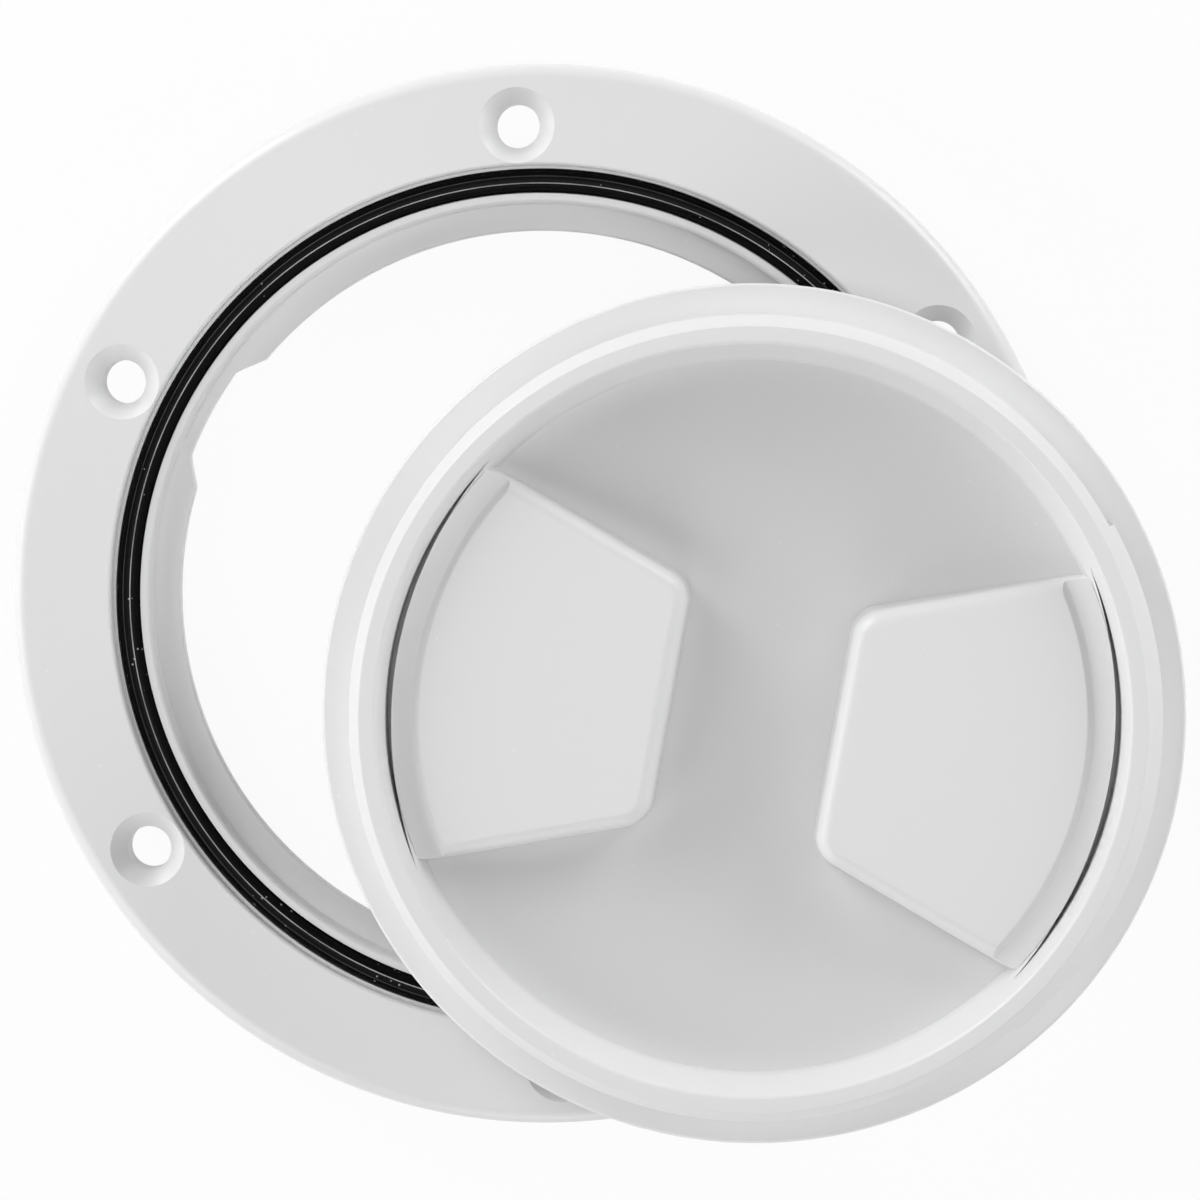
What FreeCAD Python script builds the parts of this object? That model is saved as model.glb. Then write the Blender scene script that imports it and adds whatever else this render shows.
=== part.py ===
import FreeCAD, Part
import Sketcher
import math
import os
import re

# Deck inspection plate: a round flange ring for a hull or deck opening, its rubber seal, and the
# dished lid that has been turned out of the ring and laid on it. Millimetres and degrees, +Z up.
# The origin is on the ring's axis, in the plane of the flange's underside, which meets the deck.

SIZES = {
    # Ring: the clear opening inside the locking ledge, and the ring's levels
    "opening_radius": 51.8,
    "flange_height": 6.0,
    "flange_edge_round": 2.2,
    # Ring: recess that takes the lid's flange, and the lip inside the seal
    "recess_depth": 2.2,
    "recess_margin": 0.4,
    "recess_edge_round": 0.45,
    "lip_width": 1.4,
    "bore_edge_round": 0.5,
    # Ring: locking ledge in the bore, with three entry notches
    "ledge_width": 3.8,
    "ledge_depth": 6.4,
    "ledge_thickness": 2.0,
    "ledge_edge_round": 0.4,
    "notch_count": 3,
    "notch_depth": 2.3,
    "notch_mouth_angle": 27.0,
    "notch_root_angle": 14.5,
    "notch_turn": 152.0,
    # Ring: collar that drops through the deck
    "collar_setback": 0.6,
    "collar_wall": 3.0,
    "collar_length": 6.0,
    # Ring: countersunk screw holes
    "screw_count": 6,
    "screw_hole_radius": 3.1,
    "countersink_radius": 5.3,
    "screw_land_inner": 0.3,
    "screw_land_outer": 3.3,
    "countersink_angle": 90.0,
    "screw_turn": 33.4,
    # Seal: an O-ring that lies in a square groove
    "seal_section": 3.2,
    "seal_side_clearance": 0.1,
    "seal_seat_clearance": 0.05,
    "seal_proud": 0.8,
    # Lid: flange, with its clearances in the ring
    "lid_side_clearance": 1.15,
    "lid_flange_width": 4.45,
    "lid_flange_thickness": 2.4,
    "lid_seat_gap": 0.3,
    "lid_edge_round": 0.5,
    # Lid: raised rim with a bevelled outer edge
    "rim_height": 9.0,
    "rim_bevel_width": 1.5,
    "rim_bevel_height": 1.9,
    "rim_top_width": 2.3,
    "rim_inner_slope": 2.3,
    "rim_edge_round": 0.4,
    "rim_land_width": 0.7,
    "rim_land_angle": 78.0,
    # Lid: dished floor
    "floor_edge_height": 0.8,
    "floor_drop": 2.4,
    "lid_wall": 2.8,
    # Lid: spigot with three locking lugs below
    "spigot_clearance": 0.5,
    "spigot_wall": 2.4,
    "lug_clearance": 0.4,
    "lug_play": 0.2,
    "lug_height": 2.0,
    "lug_angle": 12.0,
    "lug_embed": 0.8,
    # Lid: core groove under the rim
    "core_inset": 1.0,
    "core_outer_wall": 1.4,
    "core_roof": 2.4,
    # Lid: two finger pads, each a raised lobe that widens towards the rim
    "pad_count": 2,
    "pad_top_height": 5.6,
    "pad_inner_distance": 12.6,
    "pad_inner_half_width": 15.8,
    "pad_overlap": 0.3,
    "pad_half_angle": 32.5,
    "pad_corner_round": 2.8,
    "pad_outer_corner_cut": 2.6,
    "pad_top_round": 2.0,
    "pad_draft": 4.0,
    "pad_wall": 2.2,
    # Lid: lowered shoulder along each pad's outer arc, and the slot behind it
    "shoulder_width": 3.4,
    "shoulder_drop": 0.9,
    "shoulder_half_angle": 27.0,
    "slot_width": 1.0,
    "slot_floor_depth": 1.0,
    # The lid as it lies on the ring: its centre is a little past the point where it would tip in
    "lid_rest_margin": 0.35,
    "lid_direction": -26.7,
    "lid_turn": -9.5,
}

# Sizes that follow from those, each an expression in their names
FOLLOWING = {
    # Ring: radii, outwards from the opening
    "bore_radius": "opening_radius + ledge_width",
    "groove_half": "seal_section / 2 + seal_side_clearance",
    "seal_radius": "bore_radius + lip_width + groove_half",
    "recess_radius": "seal_radius + groove_half + recess_margin",
    "screw_circle_radius": "recess_radius + screw_land_inner + countersink_radius",
    "flange_radius": "screw_circle_radius + countersink_radius + screw_land_outer",
    "notch_radius": "opening_radius + notch_depth",
    "collar_bore_radius": "bore_radius - collar_setback",
    # Ring: levels
    "recess_floor": "flange_height - recess_depth",
    "ledge_top": "flange_height - ledge_depth",
    "ledge_bottom": "ledge_top - ledge_thickness",
    "groove_floor": "recess_floor + seal_proud - seal_section - seal_seat_clearance",
    # Lid: radii, inwards from the recess and from the opening that it fits
    "lid_radius": "recess_radius - lid_side_clearance",
    "rim_radius": "lid_radius - lid_flange_width",
    "rim_inner_radius": "rim_radius - rim_bevel_width - rim_top_width",
    "floor_radius": "rim_inner_radius - rim_inner_slope",
    "core_outer_radius": "rim_radius - core_outer_wall",
    "spigot_radius": "opening_radius - spigot_clearance",
    "core_inner_radius": "spigot_radius + core_inset",
    "spigot_bore": "spigot_radius - spigot_wall",
    "lug_radius": "notch_radius - lug_clearance",
    "pad_outer_radius": "floor_radius + pad_overlap",
    "shoulder_radius": "pad_outer_radius - shoulder_width",
    # Lid: levels
    "spigot_length": "ledge_depth + ledge_thickness - recess_depth + lid_seat_gap + lug_play + lug_height",
    "spigot_end": "0 - lid_flange_thickness - spigot_length",
    "floor_centre": "floor_edge_height - floor_drop",
    # Lid: slant of the pads' long sides, in plan
    "pad_side_angle": "atan((pad_outer_radius * sin(pad_half_angle) - pad_inner_half_width)"
                      " / (pad_outer_radius * cos(pad_half_angle) - pad_inner_distance))",
    # The lid's centre from the ring's axis: nearer in, its spigot would tip into the recess
    "lid_offset": "sqrt((recess_radius + recess_edge_round) ^ 2 - spigot_radius ^ 2) + lid_rest_margin",
}

doc = FreeCAD.newDocument("deck_inspection_plate")
sheet = doc.addObject("Spreadsheet::Sheet", "sizes")
for row, (alias, amount) in enumerate(SIZES.items(), start=1):
    sheet.set(f"A{row}", alias)
    sheet.set(f"B{row}", str(amount))
    sheet.setAlias(f"B{row}", alias)
doc.recompute()


def bound(text):
    """The same expression, written out down to the sheet's own cells"""
    def spell(match):
        name = match.group()
        if name in FOLLOWING:
            return "(" + bound(FOLLOWING[name]) + ")"
        return "sizes." + name if name in SIZES else name

    return re.sub(r"[a-z]\w*", spell, text)


def amount_of(text):
    """What an expression comes to with the sheet's present numbers"""
    result = sheet.evalExpression(bound(text))
    return float(getattr(result, "Value", result))


def bind(feature, prop, text):
    feature.setExpression(prop, bound(text))


def origin_plane(body, role):
    return next(item for item in body.Origin.OriginFeatures if item.Role == role)


def new_body(label):
    body = doc.addObject("PartDesign::Body", label)
    body.Label = label
    return body


def new_sketch(body, name, role="XY_Plane", height=None):
    """A sketch on one of the body's own origin planes, lifted by height where one is given"""
    sketch = body.newObject("Sketcher::SketchObject", name)
    sketch.AttachmentSupport = [(origin_plane(body, role), "")]
    sketch.MapMode = "FlatFace"
    if height:
        bind(sketch, "AttachmentOffset.Base.z", height)
    doc.recompute()
    return sketch


def fix(sketch, kind, places, text=None):
    """One constraint, tied to the sheet where it has a size"""
    if text is None:
        return sketch.addConstraint(Sketcher.Constraint(kind, *places))
    index = sketch.addConstraint(Sketcher.Constraint(kind, *places, amount_of(text)))
    bind(sketch, f"Constraints[{index}]", text)
    return index


def outline(sketch, corners, arcs=None, domes=()):
    """A closed outline through corners, each a pair of expressions.

    Side i runs from corner i to the next. arcs gives the radius of each side that is an arc
    about the origin, and domes lists each side that is an arc about a point on the upright axis.
    A corner beside an arc about the origin is fixed by its height alone.
    """
    arcs = arcs or {}
    points = [FreeCAD.Vector(amount_of(x), amount_of(y), 0) for x, y in corners]
    count = len(points)
    ends = []
    for i in range(count):
        a = points[i]
        b = points[(i + 1) % count]
        if i not in arcs and i not in domes:
            sketch.addGeometry(Part.LineSegment(a, b), False)
            ends.append((1, 2))
            continue
        centre = FreeCAD.Vector(0, 0, 0)
        if i in domes:
            centre.y = (a.x ** 2 + a.y ** 2 - b.x ** 2 - b.y ** 2) / (2 * (a.y - b.y))
        angle_a = math.atan2(a.y - centre.y, a.x)
        angle_b = math.atan2(b.y - centre.y, b.x)
        forward = (angle_b - angle_a) % (2 * math.pi) < math.pi
        start, end = (angle_a, angle_b) if forward else (angle_b, angle_a)
        circle = Part.Circle(centre, FreeCAD.Vector(0, 0, 1), a.distanceToPoint(centre))
        sketch.addGeometry(Part.ArcOfCircle(circle, start, end), False)
        ends.append((1, 2) if forward else (2, 1))
    for i in range(count):
        following = (i + 1) % count
        fix(sketch, "Coincident", (i, ends[i][1], following, ends[following][0]))
    for i, (x, y) in enumerate(corners):
        if i not in arcs and (i - 1) % count not in arcs:
            fix(sketch, "DistanceX", (-1, 1, i, ends[i][0]), x)
        fix(sketch, "DistanceY", (-1, 1, i, ends[i][0]), y)
    for i, radius in arcs.items():
        fix(sketch, "Coincident", (i, 3, -1, 1))
        fix(sketch, "Radius", (i,), radius)
    for i in domes:
        fix(sketch, "PointOnObject", (i, 3, -2))
    doc.recompute()


def revolve(body, sketch, name, angle=360.0, midplane=False):
    turned = body.newObject("PartDesign::Revolution", name)
    turned.Profile = sketch
    turned.ReferenceAxis = (sketch, ["V_Axis"])
    turned.Midplane = midplane
    if angle != 360.0:
        bind(turned, "Angle", angle)
    else:
        turned.Angle = angle
    sketch.Visibility = False
    doc.recompute()
    return turned


def raise_pad(body, sketch, name, length, draft=None):
    raised = body.newObject("PartDesign::Pad", name)
    raised.Profile = sketch
    bind(raised, "Length", length)
    if draft:
        bind(raised, "TaperAngle", "0 - " + draft)
    sketch.Visibility = False
    doc.recompute()
    return raised


def cut_pocket(body, sketch, name, length, upwards=False):
    """A pocket of a bound depth below its sketch, or above it"""
    before = body.Tip.Shape.Volume
    pocket = body.newObject("PartDesign::Pocket", name)
    pocket.Profile = sketch
    bind(pocket, "Length", length)
    pocket.Reversed = upwards
    sketch.Visibility = False
    doc.recompute()
    check_cut(pocket, before)
    return pocket


def check_cut(feature, before):
    if not feature.Shape.Volume < before - 1e-3:
        raise RuntimeError(feature.Name + " takes nothing away")


def repeat_round(body, feature, sketch, name, count):
    """Copies of a feature about the body's upright axis"""
    pattern = body.newObject("PartDesign::PolarPattern", name)
    pattern.Originals = [feature]
    pattern.Axis = (sketch, ["N_Axis"])
    pattern.Angle = 360
    bind(pattern, "Occurrences", count)
    body.Tip = pattern
    doc.recompute()
    return pattern


def round_edges(body, name, radius, wanted):
    """A fillet on each edge of the body's present shape that wanted() accepts"""
    base = body.Tip
    names = [f"Edge{i}" for i, edge in enumerate(base.Shape.Edges, start=1) if wanted(edge)]
    if not names:
        raise RuntimeError(name + " finds no edge")
    rounding = body.newObject("PartDesign::Fillet", name)
    rounding.Base = (base, names)
    bind(rounding, "Radius", radius)
    body.Tip = rounding
    doc.recompute()
    return rounding


def hoop(radius, height):
    """Accepts each circular edge of this radius at this height"""
    wanted_radius = amount_of(radius)
    wanted_height = amount_of(height)

    def accepts(edge):
        if edge.Degenerated or edge.Curve.TypeId != "Part::GeomCircle":
            return False
        curve = edge.Curve
        level = edge.Vertexes[0].Z
        return abs(curve.Radius - wanted_radius) < 1e-3 and abs(level - wanted_height) < 1e-3

    return accepts


# Deck ring: a moulding turned about its axis. Going inwards across the top it has the flat flange,
# the recess for the lid, the seal's groove, a narrow lip, the bore and the locking ledge.
ring = new_body("deck_ring")
section = new_sketch(ring, "ring_section", "XZ_Plane")
outline(section, [
    ("collar_bore_radius", "0 - collar_length"),
    ("collar_bore_radius + collar_wall", "0 - collar_length"),
    ("collar_bore_radius + collar_wall", "0"),
    ("flange_radius", "0"),
    ("flange_radius", "flange_height"),
    ("recess_radius", "flange_height"),
    ("recess_radius", "recess_floor"),
    ("seal_radius + groove_half", "recess_floor"),
    ("seal_radius + groove_half", "groove_floor"),
    ("seal_radius - groove_half", "groove_floor"),
    ("seal_radius - groove_half", "recess_floor"),
    ("bore_radius", "recess_floor"),
    ("bore_radius", "ledge_top"),
    ("opening_radius", "ledge_top"),
    ("opening_radius", "ledge_bottom"),
    ("collar_bore_radius", "ledge_bottom"),
])
revolve(ring, section, "ring_turned")
round_edges(ring, "flange_edge", "flange_edge_round", hoop("flange_radius", "flange_height"))
round_edges(ring, "recess_edge", "recess_edge_round", hoop("recess_radius", "flange_height"))
round_edges(ring, "bore_edge", "bore_edge_round", hoop("bore_radius", "recess_floor"))
round_edges(ring, "ledge_edge", "ledge_edge_round", hoop("opening_radius", "ledge_top"))

# Entry notches: three tapered bites out of the ledge, through which the lid's lugs drop
notch_reach = "(opening_radius - 2 * ledge_edge_round)"
notch_sketch = new_sketch(ring, "notch_outline", height="flange_height")
bind(notch_sketch, "AttachmentOffset.Rotation.Angle", "notch_turn")
outline(notch_sketch, [
    (notch_reach + " * cos(notch_mouth_angle / 2)", "0 - " + notch_reach + " * sin(notch_mouth_angle / 2)"),
    ("notch_radius * cos(notch_root_angle / 2)", "0 - notch_radius * sin(notch_root_angle / 2)"),
    ("notch_radius * cos(notch_root_angle / 2)", "notch_radius * sin(notch_root_angle / 2)"),
    (notch_reach + " * cos(notch_mouth_angle / 2)", notch_reach + " * sin(notch_mouth_angle / 2)"),
], arcs={1: "notch_radius"})
notch = cut_pocket(ring, notch_sketch, "notch", "flange_height + collar_length")
repeat_round(ring, notch, notch_sketch, "notches", "notch_count")

# Screw holes: six, countersunk from the top of the flange
hole_sketch = new_sketch(ring, "hole_centre", height="flange_height")
bind(hole_sketch, "AttachmentOffset.Rotation.Angle", "screw_turn")
hole_sketch.addGeometry(Part.Circle(FreeCAD.Vector(amount_of("screw_circle_radius"), 0, 0),
                                    FreeCAD.Vector(0, 0, 1), amount_of("screw_hole_radius")), False)
fix(hole_sketch, "PointOnObject", (0, 3, -1))
fix(hole_sketch, "DistanceX", (-1, 1, 0, 3), "screw_circle_radius")
fix(hole_sketch, "Radius", (0,), "screw_hole_radius")
doc.recompute()
volume_before_holes = ring.Tip.Shape.Volume
hole = ring.newObject("PartDesign::Hole", "screw_hole")
hole.Profile = hole_sketch
doc.recompute()
bind(hole, "Diameter", "2 * screw_hole_radius")
hole.DepthType = "ThroughAll"
hole.HoleCutType = "Countersink"
hole.HoleCutCustomValues = True
bind(hole, "HoleCutDiameter", "2 * countersink_radius")
bind(hole, "HoleCutCountersinkAngle", "countersink_angle")
hole_sketch.Visibility = False
doc.recompute()
check_cut(hole, volume_before_holes)
repeat_round(ring, hole, hole_sketch, "screw_holes", "screw_count")

# Seal: a rubber ring of round section, a little proud of the recess's floor
seal = new_body("seal_ring")
seal_sketch = new_sketch(seal, "seal_section_circle", "XZ_Plane")
seal_level = "recess_floor + seal_proud - seal_section / 2"
seal_sketch.addGeometry(Part.Circle(FreeCAD.Vector(amount_of("seal_radius"), amount_of(seal_level), 0),
                                    FreeCAD.Vector(0, 0, 1), amount_of("seal_section / 2")), False)
fix(seal_sketch, "DistanceX", (-1, 1, 0, 3), "seal_radius")
fix(seal_sketch, "DistanceY", (-1, 1, 0, 3), seal_level)
fix(seal_sketch, "Radius", (0,), "seal_section / 2")
revolve(seal, seal_sketch, "seal_turned")

# Lid: a dished shell with a raised rim, a thin flange that covers the seal, and a spigot below.
# Its own origin is on its axis, in the plane of the flange's upper face.
lid = new_body("screw_lid")
lid_section = new_sketch(lid, "lid_section", "XZ_Plane")
outline(lid_section, [
    ("0", "floor_centre - lid_wall"),
    ("spigot_bore", "floor_edge_height - lid_wall"),
    ("spigot_bore", "spigot_end"),
    ("spigot_radius", "spigot_end"),
    ("spigot_radius", "0 - lid_flange_thickness"),
    ("core_inner_radius", "0 - lid_flange_thickness"),
    ("core_inner_radius", "rim_height - core_roof"),
    ("core_outer_radius", "rim_height - core_roof"),
    ("core_outer_radius", "0 - lid_flange_thickness"),
    ("lid_radius", "0 - lid_flange_thickness"),
    ("lid_radius", "0"),
    ("rim_radius", "0"),
    ("rim_radius", "rim_height - rim_bevel_height"),
    ("rim_radius - rim_bevel_width", "rim_height"),
    ("rim_inner_radius", "rim_height"),
    ("floor_radius", "floor_edge_height"),
    ("0", "floor_centre"),
], domes=(0, 15))
revolve(lid, lid_section, "lid_turned")
round_edges(lid, "lid_edge", "lid_edge_round", hoop("lid_radius", "0"))
round_edges(lid, "rim_foot", "rim_edge_round", hoop("rim_radius", "0"))
round_edges(lid, "rim_inner_edge", "rim_edge_round",
            hoop("rim_inner_radius", "rim_height"))

# Rim land: over part of the turn the rim's outer wall is thicker, and the bevel runs further down
land_drop = "rim_land_width * rim_bevel_height / rim_bevel_width"
land_sketch = new_sketch(lid, "land_section", "XZ_Plane")
outline(land_sketch, [
    ("rim_radius - rim_land_width", "rim_edge_round"),
    ("rim_radius + rim_land_width", "0 - lid_edge_round"),
    ("rim_radius + rim_land_width", "rim_height - rim_bevel_height - " + land_drop),
    ("rim_radius - rim_land_width", "rim_height - rim_bevel_height + " + land_drop),
])
revolve(lid, land_sketch, "rim_land", "rim_land_angle", midplane=True)

# Finger pads: two raised lobes, point for point across the axis, with drafted sides. Each starts
# inside the dished shell, so that its walls grow out of the floor, and its two outer corners are
# cut back where they meet the rim.
pad_base = "(floor_edge_height - lid_wall + (floor_drop * (pad_inner_distance / floor_radius) ^ 2) / 2)"
pad_sketch = new_sketch(lid, "pad_outline", height=pad_base)
pad_cut_x = "(pad_outer_radius * cos(pad_half_angle) - pad_outer_corner_cut * cos(pad_side_angle))"
pad_cut_y = "(pad_outer_radius * sin(pad_half_angle) - pad_outer_corner_cut * sin(pad_side_angle))"
pad_arc_angle = "(pad_half_angle - 180 / pi * pad_outer_corner_cut / pad_outer_radius)"
pad_arc_x = "pad_outer_radius * cos(" + pad_arc_angle + ")"
pad_arc_y = "pad_outer_radius * sin(" + pad_arc_angle + ")"
outline(pad_sketch, [
    ("pad_inner_distance", "0 - pad_inner_half_width"),
    (pad_cut_x, "0 - " + pad_cut_y),
    (pad_arc_x, "0 - " + pad_arc_y),
    (pad_arc_x, pad_arc_y),
    (pad_cut_x, pad_cut_y),
    ("pad_inner_distance", "pad_inner_half_width"),
], arcs={2: "pad_outer_radius"})
pad = raise_pad(lid, pad_sketch, "pad", "pad_top_height - " + pad_base, "pad_draft")
repeat_round(lid, pad, pad_sketch, "pads", "pad_count")

pad_top = amount_of("pad_top_height")
pad_middle = amount_of("(pad_top_height + floor_edge_height) / 2")
pad_reach = amount_of("pad_outer_radius")


def pad_corner(edge):
    """Accepts the two upright corner edges at each pad's inner side"""
    if len(edge.Vertexes) < 2:
        return False
    levels = sorted(vertex.Z for vertex in edge.Vertexes)
    distance = max(math.hypot(vertex.X, vertex.Y) for vertex in edge.Vertexes)
    return levels[1] > pad_top - 1e-3 and levels[0] < pad_middle and distance < pad_reach / 2


def pad_rim(edge):
    """Accepts the edges round the top of the pads, apart from the outer arcs"""
    if any(abs(vertex.Z - pad_top) > 1e-3 for vertex in edge.Vertexes):
        return False
    middle = edge.valueAt((edge.FirstParameter + edge.LastParameter) / 2)
    along_arc = abs(math.hypot(middle.x, middle.y) - pad_reach) < 1.0
    return abs(middle.z - pad_top) < 1e-3 and not along_arc


round_edges(lid, "pad_corners", "pad_corner_round", pad_corner)
round_edges(lid, "pad_tops", "pad_top_round", pad_rim)

# Slot: a narrow deep gap between each pad's outer wall and the rim
slot_outer = "(pad_outer_radius + slot_width)"
slot_sketch = new_sketch(lid, "slot_outline", height="rim_height")
outline(slot_sketch, [
    ("pad_outer_radius * cos(pad_half_angle)", "0 - pad_outer_radius * sin(pad_half_angle)"),
    (slot_outer + " * cos(pad_half_angle)", "0 - " + slot_outer + " * sin(pad_half_angle)"),
    (slot_outer + " * cos(pad_half_angle)", slot_outer + " * sin(pad_half_angle)"),
    ("pad_outer_radius * cos(pad_half_angle)", "pad_outer_radius * sin(pad_half_angle)"),
], arcs={1: slot_outer, 3: "pad_outer_radius"})
slot = cut_pocket(lid, slot_sketch, "slot", "rim_height + slot_floor_depth")
repeat_round(lid, slot, slot_sketch, "slots", "pad_count")

# Shoulder: the pad's top steps down along its outer arc
shoulder_outer = "(pad_outer_radius + slot_width / 2)"
shoulder_sketch = new_sketch(lid, "shoulder_outline", height="pad_top_height")
outline(shoulder_sketch, [
    ("shoulder_radius * cos(shoulder_half_angle)", "0 - shoulder_radius * sin(shoulder_half_angle)"),
    (shoulder_outer + " * cos(shoulder_half_angle)", "0 - " + shoulder_outer + " * sin(shoulder_half_angle)"),
    (shoulder_outer + " * cos(shoulder_half_angle)", shoulder_outer + " * sin(shoulder_half_angle)"),
    ("shoulder_radius * cos(shoulder_half_angle)", "shoulder_radius * sin(shoulder_half_angle)"),
], arcs={1: shoulder_outer, 3: "shoulder_radius"})
shoulder = cut_pocket(lid, shoulder_sketch, "shoulder", "shoulder_drop")
repeat_round(lid, shoulder, shoulder_sketch, "shoulders", "pad_count")

# Pad cavities: the pads are hollow from below, with a wall of even thickness
cavity_radius = "(pad_outer_radius - pad_wall)"
cavity_angle = "(pad_half_angle - 180 / pi * pad_wall / pad_outer_radius)"
cavity_half = (
    "(pad_inner_half_width - pad_wall * cos(pad_side_angle)"
    " + pad_wall * (1 - sin(pad_side_angle)) * tan(pad_side_angle))"
)
cavity_sketch = new_sketch(lid, "cavity_outline", height="floor_centre - lid_wall")
outline(cavity_sketch, [
    ("pad_inner_distance + pad_wall", "0 - " + cavity_half),
    (cavity_radius + " * cos(" + cavity_angle + ")", "0 - " + cavity_radius + " * sin(" + cavity_angle + ")"),
    (cavity_radius + " * cos(" + cavity_angle + ")", cavity_radius + " * sin(" + cavity_angle + ")"),
    ("pad_inner_distance + pad_wall", cavity_half),
], arcs={1: cavity_radius})
cavity = cut_pocket(lid, cavity_sketch, "cavity",
                    "pad_top_height - pad_wall - shoulder_drop - floor_centre + lid_wall", upwards=True)
repeat_round(lid, cavity, cavity_sketch, "cavities", "pad_count")

# Lugs: three short teeth at the spigot's end, which lock under the ring's ledge
lug_root = "(spigot_radius - lug_embed)"
lug_sketch = new_sketch(lid, "lug_outline", height="spigot_end")
outline(lug_sketch, [
    (lug_root + " * cos(lug_angle / 2)", "0 - " + lug_root + " * sin(lug_angle / 2)"),
    ("lug_radius * cos(lug_angle / 2)", "0 - lug_radius * sin(lug_angle / 2)"),
    ("lug_radius * cos(lug_angle / 2)", "lug_radius * sin(lug_angle / 2)"),
    (lug_root + " * cos(lug_angle / 2)", lug_root + " * sin(lug_angle / 2)"),
], arcs={1: "lug_radius"})
lug = raise_pad(lid, lug_sketch, "lug", "lug_height")
repeat_round(lid, lug, lug_sketch, "lugs", "notch_count")

# The lid lies on the ring, its spigot's end face on the flange's top, shifted off the ring's axis
lid.Placement = FreeCAD.Placement(FreeCAD.Vector(0, 0, 0), FreeCAD.Rotation(FreeCAD.Vector(0, 0, 1), 1))
bind(lid, "Placement.Base.x", "lid_offset * cos(lid_direction)")
bind(lid, "Placement.Base.y", "lid_offset * sin(lid_direction)")
bind(lid, "Placement.Base.z", "flange_height - spigot_end")
bind(lid, "Placement.Rotation.Angle", "lid_turn")
doc.recompute()

for item in doc.Objects:
    if "Invalid" in item.State or "Error" in item.State:
        raise RuntimeError(item.Name + " failed: " + str(item.State))

parts = [ring, seal, lid]
for body in parts:
    if body.Shape.isNull() or not body.Shape.isValid() or len(body.Shape.Solids) != 1:
        raise RuntimeError(body.Label + " is not one valid solid")

os.makedirs("parts", exist_ok=True)
for body in parts:
    body.Shape.exportStep(os.path.join("parts", body.Label + ".step"))
    box = body.Shape.BoundBox
    print(body.Label, "volume", round(body.Shape.Volume), "z", round(box.ZMin, 3), round(box.ZMax, 3))
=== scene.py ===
import bmesh
import bpy
import math
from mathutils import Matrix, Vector


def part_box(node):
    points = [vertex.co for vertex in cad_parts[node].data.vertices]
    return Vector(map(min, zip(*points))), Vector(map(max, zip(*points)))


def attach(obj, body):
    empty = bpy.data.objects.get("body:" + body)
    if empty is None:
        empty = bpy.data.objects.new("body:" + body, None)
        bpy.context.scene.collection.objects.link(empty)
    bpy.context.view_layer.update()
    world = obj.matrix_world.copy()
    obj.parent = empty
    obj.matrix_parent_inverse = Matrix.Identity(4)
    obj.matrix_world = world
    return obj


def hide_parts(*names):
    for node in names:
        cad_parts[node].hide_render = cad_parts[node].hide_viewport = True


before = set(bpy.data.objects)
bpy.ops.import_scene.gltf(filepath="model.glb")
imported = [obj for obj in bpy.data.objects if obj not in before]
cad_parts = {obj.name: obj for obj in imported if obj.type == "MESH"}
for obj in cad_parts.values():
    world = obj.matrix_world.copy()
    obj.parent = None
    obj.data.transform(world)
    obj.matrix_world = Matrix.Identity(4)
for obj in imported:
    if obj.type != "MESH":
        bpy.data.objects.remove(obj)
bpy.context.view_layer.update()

# Deck ring: the flange that is screwed down round the hole in the deck. It is one moulding in
# white plastic: going inwards, a flat with six countersunk holes, a recess for the lid, the
# seal's groove, a narrow lip, the bore and a locking ledge, with a short collar below.
ring_low, ring_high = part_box("deck_ring")
flange_radius = ring_high.x
flange_top = ring_high.z
collar_end = ring_low.z
recess_radius = 0.0608
recess_depth = 0.0022
recess_floor = flange_top - recess_depth
groove_outer = 0.0604
groove_inner = 0.0570
groove_floor = 0.00135
bore_radius = 0.0556
ledge_radius = 0.0518
ledge_depth = 0.0064
ledge_thickness = 0.0020
ledge_top = flange_top - ledge_depth
ledge_bottom = ledge_top - ledge_thickness
collar_inner = 0.0550
collar_outer = 0.0580
flange_round = 0.0022
recess_round = 0.0005
lip_outer_round = 0.00015
lip_inner_round = 0.0006
ledge_round = 0.0004
ledge_under_round = 0.0002
edge_round = 0.0003
round_steps = 360
weld = 0.00001


def turn_form(name, outline, steps=round_steps):
    """A turned form: a circle on the upright axis, drawn out ring by ring to each radius and height"""
    bpy.ops.object.select_all(action="DESELECT")
    radius, height = outline[0]
    bpy.ops.mesh.primitive_circle_add(vertices=steps, radius=radius, location=(0, 0, height))
    form = bpy.context.active_object
    form.name = name
    bpy.ops.object.transform_apply()
    bpy.ops.object.mode_set(mode="EDIT")
    bpy.ops.mesh.select_all(action="SELECT")
    for wider, higher in outline[1:]:
        bpy.ops.mesh.extrude_edges_move(TRANSFORM_OT_translate={"value": (0, 0, higher - height)})
        growth = wider / radius
        bpy.ops.transform.resize(value=(growth, growth, 1), center_override=(0, 0, higher))
        radius = wider
        height = higher
    return form


def seal_up():
    """Welds the form in hand where its rings meet, and turns its faces outwards"""
    bpy.ops.mesh.select_all(action="SELECT")
    bpy.ops.mesh.remove_doubles(threshold=weld)
    bpy.ops.mesh.normals_make_consistent(inside=False)
    bpy.ops.mesh.select_all(action="DESELECT")


def pick_edges(form, wanted):
    """Selects each edge of the form in hand whose two ends are both wanted"""
    bpy.ops.mesh.select_mode(type="EDGE")
    bpy.ops.mesh.select_all(action="DESELECT")
    shape = bmesh.from_edit_mesh(form.data)
    for edge in shape.edges:
        if wanted(edge.verts[0].co) and wanted(edge.verts[1].co):
            edge.select_set(True)
    bmesh.update_edit_mesh(form.data)


def round_edges(size, steps):
    """Rounds the picked edges of the form in hand"""
    bpy.ops.mesh.bevel(offset=size, segments=steps, affect="EDGES")


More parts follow.
